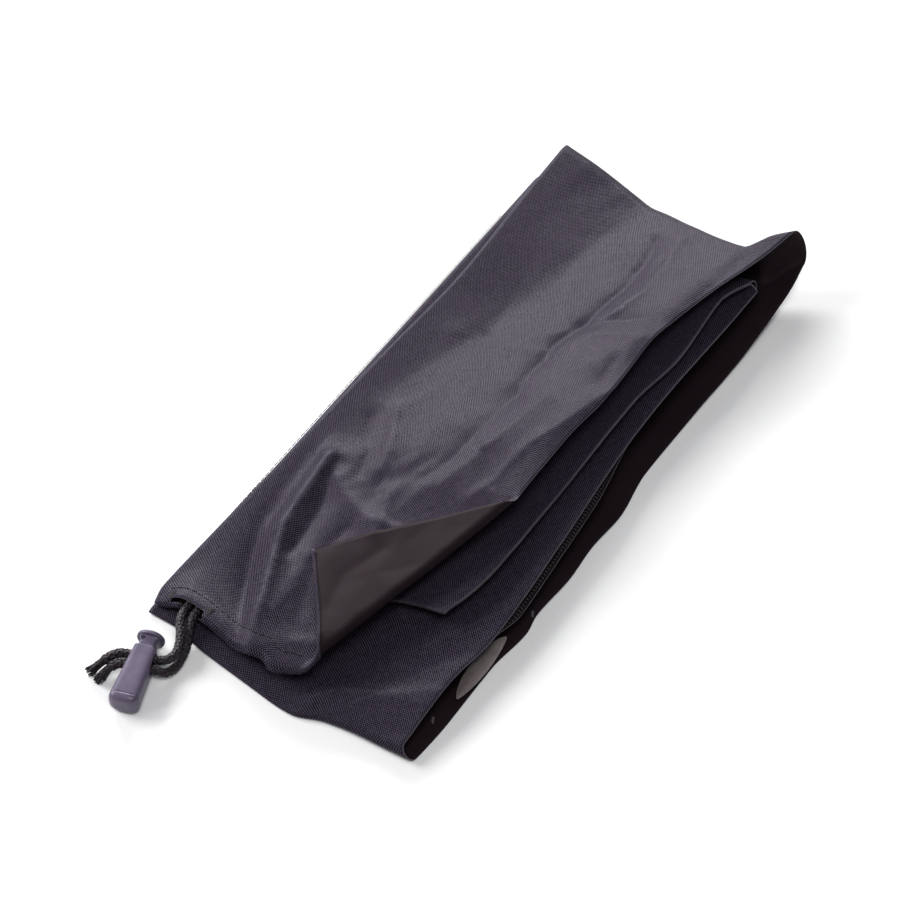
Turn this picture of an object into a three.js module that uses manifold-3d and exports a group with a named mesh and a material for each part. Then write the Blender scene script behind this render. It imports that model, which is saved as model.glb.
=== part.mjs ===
// A long drawstring carry bag of coated oxford cloth, folded in four and lying on a table, with the
// spring cord lock on its drawstring. Millimetres, +Z up. X runs along the folded bag from its mouth,
// Y across it from the open, fanned long side (low) to the pressed long edge (high).
import {
  BoxGeometry,
  BufferAttribute,
  BufferGeometry,
  CatmullRomCurve3,
  CylinderGeometry,
  ExtrudeGeometry,
  Group,
  MathUtils,
  Matrix4,
  Mesh,
  MeshStandardMaterial,
  Shape,
  Vector3,
} from "three";
import { mergeVertices } from "three/addons/utils/BufferGeometryUtils.js";
import Module from "manifold-3d";

// ---- driving dimensions -------------------------------------------------------------------------

const BAG_CENTRE = [131.67, -56.88]; // plan centre of the folded bag, measured from its mouth corner
const PLY = 0.5; // thickness of one coated ply
const PITCH = 0.85; // from ply to ply where the plies are pressed together
const FLOOR_Z = 0.25; // middle of the lowest ply
const COLUMNS = 13; // grid lines across the cloth

// Long open edges of the four leaves, from the lowest to the highest: [x, y, z] along each edge.
const BOTTOM_EDGE = [[-10, -112, FLOOR_Z], [17, -113.5, FLOOR_Z], [68, -115, FLOOR_Z],
  [125, -115, FLOOR_Z], [150, -112, FLOOR_Z], [184, -112.5, 0.6], [219, -113.5, 2], [244, -113.5, 5],
  [270, -111, 9]];
const LOWER_EDGE = [[-10, -108, 7.5], [26, -108, 8.5], [50, -110.5, 9.5], [101, -108, 11],
  [157, -104, 12], [203, -105, 13], [241, -106, 13]];
const UPPER_EDGE = [[28, -90, 13], [47, -92, 13.5], [65, -96, 14], [109, -97, 14], [164, -97, 15],
  [191, -100, 15], [224, -98, 15.3], [241, -104, 15.6]];
const TOP_EDGE = [[-5, -113, 15.8], [28, -111, 18], [60, -102.5, 20.8], [85, -94.5, 22.2],
  [102, -89, 23], [129, -89, 24], [155, -91, 24], [185, -90, 24], [214, -94, 24], [247, -103, 24.5],
  [270, -107, 24.5]];
const TOP_PRESSED_EDGE = [[0, -1], [9, 1], [53, 0], [99, -1], [140, -2], [187, -4], [237, -1.5], [273, 0]];

// Folds and cut ends across the bag: [share of the width from the pressed edge, x].
const FAR_FOLD = [[0, 273], [0.22, 267.5], [0.4, 259], [0.62, 257], [0.8, 255], [0.88, 254], [0.95, 262],
  [1, 268]];
const NEAR_FOLD = [[0, -1.5], [0.1, -1.5], [0.19, -4], [0.43, -8], [0.6, -10], [0.7, -6.5], [1, -4]];
const INNER_FOLD = [[0, 252], [0.12, 245], [0.3, 240], [0.5, 238], [1, 241]];
const MOUTH = [[0, -0.5], [0.1, 3], [0.18, 2], [0.27, 0], [0.36, -2], [0.47, -2], [0.55, -1], [0.62, 5],
  [1, 23]];
const FAR_BULGE = 5; // how far each fold's round part stands out beyond the leaves that it joins
const NEAR_BULGE = 3;
const INNER_BULGE = 2.4;
const CLOSED_END = [[0, 31], [0.65, 33], [0.78, 44], [0.85, 46], [1, 47]];
const INNER_MOUTH = [[0, 24], [1, 27]];

const DOG_EAR_FROM = [8, -64]; // the turned-over corner folds along this line
const DOG_EAR_TO = [102, -89];
const DOG_EAR_ROLL = 2.2;

const HEM_WIDTH = 9;
const HEM_NOSE = 2.4; // how far in from the mouth the hem starts to turn under
const HEM_HEIGHT = [[0, 1.3], [0.05, 4.3], [0.1, 4.9], [0.48, 4.9], [0.6, 1.3], [1, 1.3]];
const HEM_RISE = 3.4; // how far the cord inside lifts the hem
const SLIT_Y = [-20.2, -9.3]; // the slit in the hem that the drawstring leaves by
const SLIT_Z = [3.9, 8.0];

const CORD_DIAMETER = 3.4;
const CORD_SIDES = 8;
const CORD_STEPS = 30;
// The drawstring's two ends, from inside the hem through the slit and the lock to the frayed end.
const CORD_RIGHT = [[7, -16.4, 5.9], [1.8, -16.9, 5.8], [-2.6, -18.7, 4.5], [-6.6, -20.5, 2.7],
  [-11.4, -21.8, 1.95], [-16.4, -22.5, 2.0], [-20.6, -21.6, 3.0], [-22.6, -18.2, 4.4],
  [-24.14, -13.12, 4.6], [-25.48, -8.82, 4.6], [-27.2, -6.3, 4.5], [-29.4, -4.8, 3.9],
  [-31.8, -4.0, 3.0], [-33.8, -3.7, 2.3], [-35.8, -3.6, 2.0]];
const CORD_LEFT = [[7, -12.5, 5.9], [2.6, -12.6, 6.0], [-1.6, -14.1, 6.5], [-5.6, -17.0, 6.3],
  [-9.6, -19.5, 5.8], [-13.4, -20.8, 5.6], [-16.8, -20.0, 5.3], [-19.0, -16.4, 4.6],
  [-20.41, -11.96, 4.6], [-21.75, -7.66, 4.6], [-23.3, -4.6, 4.7], [-25.4, -2.8, 4.6],
  [-28.0, -1.4, 4.0], [-30.6, -0.4, 3.2], [-32.8, 0.6, 2.4], [-34.5, 1.5, 2.0]];
const HEM_RUN = [[4.6, -22, 6.7], [2.8, -29, 7.4], [1.8, -37, 7.8], [1.8, -46, 8.2]];

const LOCK_BASE = [-40.8, -18.3, 4.6]; // middle of the lock barrel's closed end
const LOCK_AXIS = [0.955, 0.297, 0]; // from the closed end to the button
const BARREL = {
  length: 24.2,
  baseWidth: 11,
  topWidth: 8.4,
  baseThick: 8.8,
  topThick: 7.6,
  corner: 1.8, // radius of its long edges
  floor: 1.8,
};
const LUG = { reach: 6.2, thick: 1.2, fromTop: [1.4, 4.2, 8] };
const BORE = { width: 6.4, thick: 6.2 };
const STEM = { width: 6.0, thick: 5.8, foot: 11.3 };
const CORD_SLOT = { centre: 19.4, length: 7.9, thick: 4.1 };
const BUTTON_TRAVEL = 3;
// The button is an oval disc on a neck that flares from the stem.
const BUTTON = { width: 10.2, thick: 9, bottom: 28.7, top: 30.3, neckFrom: 27.4, neckWidth: 8 };
const SPRING = { radius: 1.9, wire: 0.45, turns: 7, bottom: 2.2, top: 10.9 };

// ---- materials ----------------------------------------------------------------------------------

const paint = (color, roughness, metalness = 0) => new MeshStandardMaterial({ color, roughness, metalness });
const materials = {
  cloth: () => paint(0x2a272f, 0.55),
  thread: () => paint(0x1c1a1f, 0.7),
  tape: () => paint(0x6b5f62, 0.6),
  cord: () => paint(0x131215, 0.6),
  plastic: () => paint(0x55505a, 0.4),
  steel: () => paint(0xb8b8bc, 0.3, 1),
};

// ---- small helpers ------------------------------------------------------------------------------

const { clamp, lerp, smoothstep } = MathUtils;

// Value number `k` of a list of [place, value, ...] rows, read at `place` along straight stretches.
function along(rows, place, k = 1) {
  const next = rows.findIndex((row) => row[0] >= place);
  if (next === 0) return rows[0][k];
  if (next < 0) return rows[rows.length - 1][k];
  const [a, b] = [rows[next - 1], rows[next]];
  return lerp(a[k], b[k], (place - a[0]) / (b[0] - a[0]));
}

const wasm = await Module();
wasm.setup();

function toManifold(geometry) {
  const bare = new BufferGeometry();
  bare.setAttribute("position", geometry.getAttribute("position").clone());
  if (geometry.index) bare.setIndex(geometry.index.clone());
  const merged = mergeVertices(bare, 1e-4);
  const solid = new wasm.Mesh({
    numProp: 3,
    vertProperties: new Float32Array(merged.attributes.position.array),
    triVerts: new Uint32Array(merged.index.array),
  });
  return new wasm.Manifold(solid);
}

function fromManifold(manifold) {
  const { vertProperties, triVerts, numProp } = manifold.getMesh();
  const geometry = new BufferGeometry();
  const positions = new Float32Array((vertProperties.length / numProp) * 3);
  for (let i = 0; i < positions.length / 3; i += 1) {
    positions.set(vertProperties.subarray(i * numProp, i * numProp + 3), i * 3);
  }
  geometry.setAttribute("position", new BufferAttribute(positions, 3));
  geometry.setIndex(new BufferAttribute(new Uint32Array(triVerts), 1));
  geometry.computeVertexNormals();
  return geometry;
}

const cut = (body, ...tools) =>
  fromManifold(tools.reduce((left, tool) => left.subtract(toManifold(tool)), toManifold(body)));
const join = (...bodies) =>
  fromManifold(bodies.map(toManifold).reduce((left, right) => left.add(right)));

function boxBetween(low, high) {
  const size = high.map((value, i) => value - low[i]);
  const box = new BoxGeometry(...size);
  return box.translate(...low.map((value, i) => value + size[i] / 2));
}

function mesh(name, geometry, material) {
  const piece = new Mesh(geometry, material);
  piece.name = name;
  return piece;
}

// A tube of that diameter along a smooth curve through the points.
function tube(points, diameter, sides, steps) {
  const section = new Shape();
  for (let i = 0; i < sides; i += 1) {
    const angle = (2 * Math.PI * (i + 0.5)) / sides;
    const x = (diameter / 2) * Math.cos(angle);
    const y = (diameter / 2) * Math.sin(angle);
    if (i === 0) section.moveTo(x, y);
    else section.lineTo(x, y);
  }
  section.closePath();
  const route = points.map((point) => new Vector3(...point));
  const extrudePath = new CatmullRomCurve3(route, false, "centripetal");
  return new ExtrudeGeometry(section, { steps, extrudePath });
}

// ---- cloth --------------------------------------------------------------------------------------

// A closed sheet of one thickness on a grid of middle points, rows[i][j].
function sheet(rows, thickness) {
  const count = rows.length;
  const width = rows[0].length;
  const at = (i, j) => rows[clamp(i, 0, count - 1)][clamp(j, 0, width - 1)];
  const positions = [];
  for (const side of [1, -1]) {
    for (let i = 0; i < count; i += 1) {
      for (let j = 0; j < width; j += 1) {
        const down = at(i + 1, j).clone().sub(at(i - 1, j));
        const across = at(i, j + 1).clone().sub(at(i, j - 1));
        const normal = across.cross(down).normalize();
        positions.push(...at(i, j).clone().addScaledVector(normal, (side * thickness) / 2).toArray());
      }
    }
  }
  const index = [];
  const top = (i, j) => i * width + j;
  const under = (i, j) => count * width + i * width + j;
  const quad = (a, b, c, d) => index.push(a, b, c, a, c, d);
  for (let i = 0; i + 1 < count; i += 1) {
    for (let j = 0; j + 1 < width; j += 1) {
      quad(top(i, j), top(i, j + 1), top(i + 1, j + 1), top(i + 1, j));
      quad(under(i, j), under(i + 1, j), under(i + 1, j + 1), under(i, j + 1));
    }
    quad(top(i, 0), top(i + 1, 0), under(i + 1, 0), under(i, 0));
    quad(top(i + 1, width - 1), top(i, width - 1), under(i, width - 1), under(i + 1, width - 1));
  }
  for (let j = 0; j + 1 < width; j += 1) {
    quad(top(0, j + 1), top(0, j), under(0, j), under(0, j + 1));
    quad(top(count - 1, j), top(count - 1, j + 1), under(count - 1, j + 1), under(count - 1, j));
  }
  const geometry = new BufferGeometry();
  geometry.setAttribute("position", new BufferAttribute(new Float32Array(positions), 3));
  geometry.setIndex(index);
  geometry.computeVertexNormals();
  return geometry;
}

// One leaf of the folded cloth: its height and y for any x and any share t of the width. It is
// pressed flat at t = 0 and rises to its open edge at t = 1, more steeply the larger `curl` is.
function leaf(edge, pressedZ, curl, pressedEdge = [[0, 0]]) {
  return (x, t) => {
    const y = lerp(along(pressedEdge, x), along(edge, x), t);
    const z = lerp(pressedZ, along(edge, x, 2), clamp(t, 0, 1.1) ** curl);
    return new Vector3(x, y, z);
  };
}

const pressed = (n) => FLOOR_Z + n * PITCH;
const bottomLeaf = leaf(BOTTOM_EDGE, pressed(0), 3);
const lowerLeaf = leaf(LOWER_EDGE, pressed(2), 1.4);
const upperLeaf = leaf(UPPER_EDGE, pressed(3), 1.3);

function lowerInnerLeaf(x, t) {
  const point = lowerLeaf(x, t);
  point.z -= PITCH + 2 * smoothstep(t, 0.8, 1);
  point.y += 1.5 * smoothstep(t, 0.8, 1);
  return point;
}

function upperInnerLeaf(x, t) {
  const point = upperLeaf(x, t);
  point.z += PITCH;
  return point;
}

// The top leaf carries the hem's rise and the turned-over corner.
const flatTopLeaf = leaf(TOP_EDGE, pressed(5), 1.15, TOP_PRESSED_EDGE);

function hemRise(x, t) {
  const nearMouth = Math.exp(-((x / 16) ** 2));
  return HEM_RISE * nearMouth * smoothstep(t, 0, 0.09) * (1 - smoothstep(t, 0.2, 0.72));
}

function topHeight(x, y) {
  const t = (y - along(TOP_PRESSED_EDGE, x)) / (along(TOP_EDGE, x) - along(TOP_PRESSED_EDGE, x));
  return flatTopLeaf(x, clamp(t, 0, 1.05)).z + hemRise(x, t);
}

// `lift` is the distance above the cloth's middle; it turns over with the corner.
function topLeaf(x, t, lift = 0) {
  const flat = flatTopLeaf(x, t);
  const foldX = DOG_EAR_TO[0] - DOG_EAR_FROM[0];
  const foldY = DOG_EAR_TO[1] - DOG_EAR_FROM[1];
  const length = Math.hypot(foldX, foldY);
  const outX = foldY / length;
  const outY = -foldX / length;
  const beyond = (flat.x - DOG_EAR_FROM[0]) * outX + (flat.y - DOG_EAR_FROM[1]) * outY;
  if (beyond <= 0) return new Vector3(flat.x, flat.y, topHeight(flat.x, flat.y) + lift);
  const angle = Math.min(beyond / DOG_EAR_ROLL, Math.PI);
  const back = Math.max(beyond - Math.PI * DOG_EAR_ROLL, 0);
  const out = (DOG_EAR_ROLL - lift) * Math.sin(angle) - back - beyond;
  const rise = DOG_EAR_ROLL - (DOG_EAR_ROLL - lift) * Math.cos(angle);
  const [x2, y2] = [flat.x + out * outX, flat.y + out * outY];
  return new Vector3(x2, y2, topHeight(x2, y2) + rise);
}

const shares = Array.from({ length: COLUMNS }, (_, j) => j / (COLUMNS - 1));

// Rows of a leaf between two lines across it, both given as functions of the width share.
function leafRows(surface, fromX, toX, count) {
  return Array.from({ length: count }, (_, i) =>
    shares.map((t) => surface(lerp(fromX(t), toX(t), i / (count - 1)), t)));
}

// Rows round a fold that joins the last row of one leaf to the first row of the next, bulging by
// `bulge` in X; its ends are left out because the leaves have them.
function foldRows(before, after, bulge, count) {
  return Array.from({ length: count }, (_, k) => {
    const angle = (Math.PI * (k + 1)) / (count + 1);
    const share = (1 - Math.cos(angle)) / 2;
    return shares.map((_, j) => {
      const point = before[j].clone().lerp(after[j], share);
      point.x += bulge * Math.sin(angle);
      return point;
    });
  });
}

const last = (rows) => rows[rows.length - 1];
const lineAt = (rows, inset = 0) => (t) => along(rows, t) + inset;

// The outer panel runs from the hem at the mouth along the top, round the far fold, back along the
// bottom, round the near fold, along the lower leaf, round the inner fold and back to the closed end.
function outerPanel() {
  const hemAt = (inset, share) => shares.map((t) => {
    const height = along(HEM_HEIGHT, t);
    return topLeaf(along(MOUTH, t) + inset, t, -height * share);
  });
  const hemHalf = (t) => along(HEM_HEIGHT, t) / 2;
  const hem = [hemAt(HEM_WIDTH, 1), hemAt(HEM_WIDTH / 2 + 1, 1), hemAt(HEM_NOSE, 1)];
  for (const angle of [0.2, 0.4, 0.6, 0.8].map((k) => k * Math.PI)) {
    hem.push(shares.map((t) => topLeaf(
      along(MOUTH, t) + HEM_NOSE - Math.min(hemHalf(t), HEM_NOSE) * Math.sin(angle),
      t,
      -hemHalf(t) * (1 + Math.cos(angle)),
    )));
  }
  const top = leafRows(topLeaf, lineAt(MOUTH, HEM_NOSE), lineAt(FAR_FOLD, -FAR_BULGE), 32);
  const bottom = leafRows(bottomLeaf, lineAt(FAR_FOLD, -FAR_BULGE), lineAt(NEAR_FOLD, NEAR_BULGE), 18);
  const lower = leafRows(lowerLeaf, lineAt(NEAR_FOLD, NEAR_BULGE), lineAt(INNER_FOLD, -3), 18);
  const upper = leafRows(upperLeaf, lineAt(INNER_FOLD, -3), lineAt(CLOSED_END), 16);
  const rows = [
    ...hem,
    ...top,
    ...foldRows(last(top), bottom[0], FAR_BULGE, 5),
    ...bottom,
    ...foldRows(last(bottom), lower[0], -NEAR_BULGE, 4),
    ...lower,
    ...foldRows(last(lower), upper[0], 0.6, 3),
    ...upper,
  ];
  const slit = boxBetween([-6, SLIT_Y[0], SLIT_Z[0]], [5.2, SLIT_Y[1], SLIT_Z[1]]);
  return mesh("outer_panel", cut(sheet(rows, PLY), slit), materials.cloth());
}

// The inner panel lines the lower leaf, wraps the inner fold and covers the upper leaf.
function innerPanel() {
  const lower = leafRows(lowerInnerLeaf, lineAt(INNER_MOUTH), lineAt(INNER_FOLD, -INNER_BULGE), 16);
  const upper = leafRows(upperInnerLeaf, lineAt(INNER_FOLD, -INNER_BULGE), lineAt(CLOSED_END), 16);
  const rows = [...lower, ...foldRows(last(lower), upper[0], INNER_BULGE, 4), ...upper];
  return mesh("inner_panel", sheet(rows, PLY), materials.cloth());
}

// ---- stitching and trim -------------------------------------------------------------------------

const THREAD = 0.5;
const ON_CLOTH = PLY / 2 + 0.3 + THREAD / 2;

function thread(name, points, steps) {
  return mesh(name, tube(points, THREAD, 6, steps), materials.thread());
}

function mouthHemStitch() {
  const points = [];
  for (let t = 0.03; t < 0.5; t += 0.045) {
    const p = topLeaf(along(MOUTH, t) + HEM_WIDTH - 1.5, t);
    points.push([p.x, p.y, p.z + ON_CLOTH + 0.25]);
  }
  return thread("mouth_hem_stitch", points, 24);
}

function closedEndSeam() {
  const points = shares.filter((t) => t > 0.3 && t < 0.99).map((t) => {
    const p = upperInnerLeaf(along(CLOSED_END, t) + 4, t);
    return [p.x, p.y, p.z + ON_CLOTH + 0.1];
  });
  return thread("closed_end_seam", points, 20);
}

function innerPanelOverlock() {
  const points = [];
  for (let x = 58; x <= 228; x += 10) {
    const p = lowerInnerLeaf(x, 1);
    points.push([p.x, p.y - 0.9, p.z + 0.35 * Math.sin(x / 7)]);
  }
  return thread("inner_panel_overlock", points, 40);
}

function pressedEdgeSeam() {
  const points = [];
  for (let x = 36; x <= 228; x += 16) points.push([x, 1, pressed(3.5)]);
  return thread("pressed_edge_seam", points, 24);
}

// A bartack is a short bar of dense stitches; it lies along X or Y on top of a ply.
function bartack(name, centre, length, alongY = false) {
  const bar = new CylinderGeometry(0.45, 0.45, length, 8);
  if (!alongY) bar.rotateZ(Math.PI / 2);
  bar.translate(...centre);
  return mesh(name, bar, materials.thread());
}

function slitBartacks() {
  return [SLIT_Y[1] + 1.1, SLIT_Y[0] - 1.1].map((y, i) => {
    const z = topHeight(5, y) + PLY / 2 + 0.3 + 0.45;
    return bartack(`slit_bartack_${["left", "right"][i]}`, [5.4, y, z + 0.15], 3.6);
  });
}

function edgeBartacks() {
  return [[15, -108.5], [72, -112.5]].map(([x, y], i) =>
    bartack(`edge_bartack_${["near", "far"][i]}`, [x, y, FLOOR_Z + PLY / 2 + 0.8], 3.2));
}

// A folded tab of ribbed tape in the side seam, seen as a long lens between the two lower leaves.
function seamTab() {
  const [length, height, depth] = [31, 3.6, 7];
  const outline = new Shape();
  outline.absellipse(0, 0, length / 2, height / 2, 0, 2 * Math.PI);
  const tab = new ExtrudeGeometry(outline, { depth, bevelEnabled: false, curveSegments: 14 });
  tab.rotateX(Math.PI / 2);
  tab.translate(41, -105.3, 3.2);
  return mesh("side_seam_tab", tab, materials.tape());
}

// ---- drawstring ---------------------------------------------------------------------------------

function drawstring() {
  return [
    mesh("drawstring_end_left", tube(CORD_LEFT, CORD_DIAMETER, CORD_SIDES, CORD_STEPS), materials.cord()),
    mesh("drawstring_end_right", tube(CORD_RIGHT, CORD_DIAMETER, CORD_SIDES, CORD_STEPS), materials.cord()),
    mesh("drawstring_in_hem", tube(HEM_RUN, CORD_DIAMETER, CORD_SIDES, 8), materials.cord()),
  ];
}

// ---- cord lock: X across it along the cords, Y its thickness, Z from closed end to button ---------

function taperedBarrel() {
  const { length, baseWidth, topWidth, baseThick, topThick, corner } = BARREL;
  const outline = new Shape();
  const [base, top, cornerCut] = [baseWidth / 2 - corner, topWidth / 2 - corner, 1.2];
  outline.moveTo(-base + cornerCut, corner);
  outline.lineTo(base - cornerCut, corner);
  outline.quadraticCurveTo(base, corner, base, corner + cornerCut);
  outline.lineTo(top, length - corner);
  outline.lineTo(-top, length - corner);
  outline.lineTo(-base, corner + cornerCut);
  outline.quadraticCurveTo(-base, corner, -base + cornerCut, corner);
  const body = new ExtrudeGeometry(outline, {
    depth: baseThick - 2 * corner,
    bevelThickness: corner,
    bevelSize: corner,
    bevelSegments: 3,
    curveSegments: 3,
  });
  body.translate(0, 0, -(baseThick - 2 * corner) / 2);
  body.rotateX(Math.PI / 2);
  const position = body.getAttribute("position");
  for (let i = 0; i < position.count; i += 1) {
    const thinning = lerp(1, topThick / baseThick, position.getZ(i) / length);
    position.setY(i, position.getY(i) * thinning);
  }
  return body;
}

// The lug stands out from the side where the cords come in.
function cordLug() {
  const [top, tip, foot] = LUG.fromTop.map((fromTop) => BARREL.length - fromTop);
  const outline = new Shape();
  outline.moveTo(-3.6, top);
  outline.lineTo(-LUG.reach, tip);
  outline.lineTo(-4.2, foot);
  outline.lineTo(-3.4, foot);
  const lug = new ExtrudeGeometry(outline, { depth: LUG.thick, bevelEnabled: false });
  lug.rotateX(Math.PI / 2);
  return lug.translate(0, -CORD_SLOT.thick / 2 - 0.2, 0);
}

function lockBarrel() {
  const { length, floor } = BARREL;
  const [w, t, slot] = [BORE.width / 2, BORE.thick / 2, CORD_SLOT.length / 2];
  const bore = boxBetween([-w, -t, floor], [w, t, length + 2]);
  const hole = boxBetween(
    [-10, -CORD_SLOT.thick / 2, CORD_SLOT.centre - slot],
    [10, CORD_SLOT.thick / 2, CORD_SLOT.centre + slot],
  );
  return mesh("cord_lock_barrel", cut(join(taperedBarrel(), cordLug()), bore, hole), materials.plastic());
}

function buttonDisc() {
  const { width, thick, bottom, top } = BUTTON;
  const disc = new CylinderGeometry(width / 2, width / 2, top - bottom, 32);
  disc.rotateX(Math.PI / 2);
  disc.scale(1, thick / width, 1);
  return disc.translate(0, 0, (bottom + top) / 2);
}

// The neck's outline, from the stem up to the middle of the disc.
function buttonNeck() {
  const { bottom, neckFrom, neckWidth } = BUTTON;
  const outline = new Shape();
  outline.moveTo(-STEM.width / 2, neckFrom - 1);
  outline.lineTo(STEM.width / 2, neckFrom - 1);
  outline.lineTo(STEM.width / 2, neckFrom);
  outline.lineTo(neckWidth / 2, bottom + 0.4);
  outline.lineTo(-neckWidth / 2, bottom + 0.4);
  outline.lineTo(-STEM.width / 2, neckFrom);
  const neck = new ExtrudeGeometry(outline, { depth: STEM.thick, bevelEnabled: false });
  neck.rotateX(Math.PI / 2);
  return neck.translate(0, STEM.thick / 2, 0);
}

function lockPlunger() {
  const [w, t] = [STEM.width / 2, STEM.thick / 2];
  const stem = boxBetween([-w, -t, STEM.foot], [w, t, BUTTON.neckFrom]);
  const slotBottom = CORD_SLOT.centre - CORD_SLOT.length / 2;
  const slot = boxBetween(
    [-w - 1, -CORD_SLOT.thick / 2, slotBottom],
    [w + 1, CORD_SLOT.thick / 2, slotBottom + CORD_SLOT.length + BUTTON_TRAVEL],
  );
  return mesh("cord_lock_plunger", cut(join(stem, buttonNeck(), buttonDisc()), slot), materials.plastic());
}

function lockSpring() {
  const { radius, wire, turns, bottom, top } = SPRING;
  const points = [];
  const perTurn = 10;
  for (let i = 0; i <= turns * perTurn; i += 1) {
    const angle = (2 * Math.PI * i) / perTurn;
    const z = lerp(bottom + wire, top - wire, i / (turns * perTurn));
    points.push([radius * Math.cos(angle), radius * Math.sin(angle), z]);
  }
  return mesh("cord_lock_spring", tube(points, wire, 6, turns * perTurn), materials.steel());
}

function cordLock() {
  const lock = new Group();
  lock.add(lockBarrel(), lockPlunger(), lockSpring());
  const axis = new Vector3(...LOCK_AXIS).normalize();
  const up = new Vector3(0, 0, 1);
  const acrossCord = up.clone().cross(axis);
  lock.setRotationFromMatrix(new Matrix4().makeBasis(acrossCord, up, axis));
  lock.position.set(...LOCK_BASE);
  return lock;
}

// ---- the whole bag ------------------------------------------------------------------------------

const bag = new Group();
bag.add(
  outerPanel(),
  innerPanel(),
  mouthHemStitch(),
  closedEndSeam(),
  innerPanelOverlock(),
  pressedEdgeSeam(),
  ...slitBartacks(),
  ...edgeBartacks(),
  seamTab(),
  ...drawstring(),
  cordLock(),
);
bag.position.set(-BAG_CENTRE[0], -BAG_CENTRE[1], 0);

const group = new Group();
group.add(bag);

export default group;
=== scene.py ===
import math

import bmesh
import bpy
import numpy as np
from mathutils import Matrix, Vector


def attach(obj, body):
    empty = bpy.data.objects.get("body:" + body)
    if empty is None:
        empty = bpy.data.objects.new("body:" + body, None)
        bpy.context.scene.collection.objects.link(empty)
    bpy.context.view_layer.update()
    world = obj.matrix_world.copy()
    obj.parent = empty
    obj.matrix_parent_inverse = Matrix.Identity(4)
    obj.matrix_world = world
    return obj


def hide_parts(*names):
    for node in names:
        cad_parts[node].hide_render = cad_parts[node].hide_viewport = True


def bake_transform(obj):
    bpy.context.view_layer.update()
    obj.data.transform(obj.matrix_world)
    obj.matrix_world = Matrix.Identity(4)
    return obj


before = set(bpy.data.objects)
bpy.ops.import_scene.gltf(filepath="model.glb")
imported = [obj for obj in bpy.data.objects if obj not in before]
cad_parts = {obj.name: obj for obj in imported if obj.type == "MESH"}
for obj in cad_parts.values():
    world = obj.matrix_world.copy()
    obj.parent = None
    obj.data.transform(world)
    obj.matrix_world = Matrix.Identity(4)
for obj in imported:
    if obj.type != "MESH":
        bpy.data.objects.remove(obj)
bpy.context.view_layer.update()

# A long drawstring carry bag of coated oxford cloth, folded in four and lying on a table, with the
# spring cord lock on its drawstring. Shapes are worked out in millimetres, in the bag's own plan frame:
# X along the folded bag from its mouth, Y across it from the pressed long edge at 0 to the open long
# side at about -110. row() turns them into metres in the row frame.

MM = 0.001
TURN = 2 * math.pi
norm = np.linalg.norm
BAG_CENTRE = np.array([131.67, -56.88, 0.0])
SHEET_WIDTH = 112  # width of the cloth
SCENE = bpy.context.scene.collection
ROUTE_STEPS = 24  # fine steps between two points of a cord's route


def place(name, data):
    piece = bpy.data.objects.new(name, data)
    SCENE.objects.link(piece)
    return piece


def row(points):
    return (np.asarray(points, float) - BAG_CENTRE) * MM


# ---- camera ----

CAMERA_AZIMUTH, CAMERA_ELEVATION = -56.5, 50.0
CAMERA_DISTANCE = 1.2
CAMERA_TARGET = (-0.0377, -0.0064, 0.036)
LENS, SENSOR = 136.8, 36.0
CLIP_NEAR, CLIP_FAR = 0.01, 20


def direction(azimuth, elevation):
    """Unit vector towards a place seen from the part; azimuth 0 is the -Y side."""
    a, e = math.radians(azimuth), math.radians(elevation)
    return Vector((math.sin(a) * math.cos(e), -math.cos(a) * math.cos(e), math.sin(e)))


def aim(piece, towards, distance, target=(0, 0, 0)):
    """Puts a camera or a light at that distance from the target and turns it to face it."""
    piece.location = Vector(target) + towards * distance
    piece.rotation_euler = (-towards).to_track_quat("-Z", "Y").to_euler()


def make_camera():
    data = bpy.data.cameras.new("camera")
    data.lens, data.sensor_width = LENS, SENSOR
    data.clip_start, data.clip_end = CLIP_NEAR, CLIP_FAR
    camera = place("camera", data)
    aim(camera, direction(CAMERA_AZIMUTH, CAMERA_ELEVATION), CAMERA_DISTANCE, CAMERA_TARGET)
    bpy.context.scene.camera = camera


make_camera()

# ---- small helpers ----


def lerp(a, b, share):
    return a + (b - a) * share


def smoothstep(x, low, high):
    s = np.clip((x - low) / (high - low), 0, 1)
    return s * s * (3 - 2 * s)


def fair(rows, place, column=1):
    """A column of [place, value, ...] rows, read along a smooth curve with no overshoot."""
    at, value = np.array([(r[0], r[column]) for r in rows], float).T
    place = np.clip(place, at[0], at[-1])
    secant = np.diff(value) / np.diff(at)
    slope = np.concatenate([[secant[0]], (secant[1:] + secant[:-1]) / 2, [secant[-1]]])
    slope[1:-1][secant[1:] * secant[:-1] <= 0] = 0
    i = np.clip(np.searchsorted(at, place, side="right") - 1, 0, len(at) - 2)
    width = at[i + 1] - at[i]
    s = (place - at[i]) / width
    ends = (1 + 2 * s) * (1 - s) ** 2 * value[i] + s * s * (3 - 2 * s) * value[i + 1]
    return ends + width * (s * (1 - s) ** 2 * slope[i] - s * s * (1 - s) * slope[i + 1])


def running(points):
    """Length along a line up to each of its points."""
    return np.concatenate([[0], np.cumsum(norm(np.diff(points, axis=0), axis=1))])


def resample(values, run, places):
    """A line's points, or other vectors that it carries, at those places along its run."""
    return np.stack([np.interp(places, run, values[:, k]) for k in range(3)], axis=1)


def between(a, b, start, end, t):
    """From a at start to b at end."""
    return ((end - t) * a + (t - start) * b) / (end - start)


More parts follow.
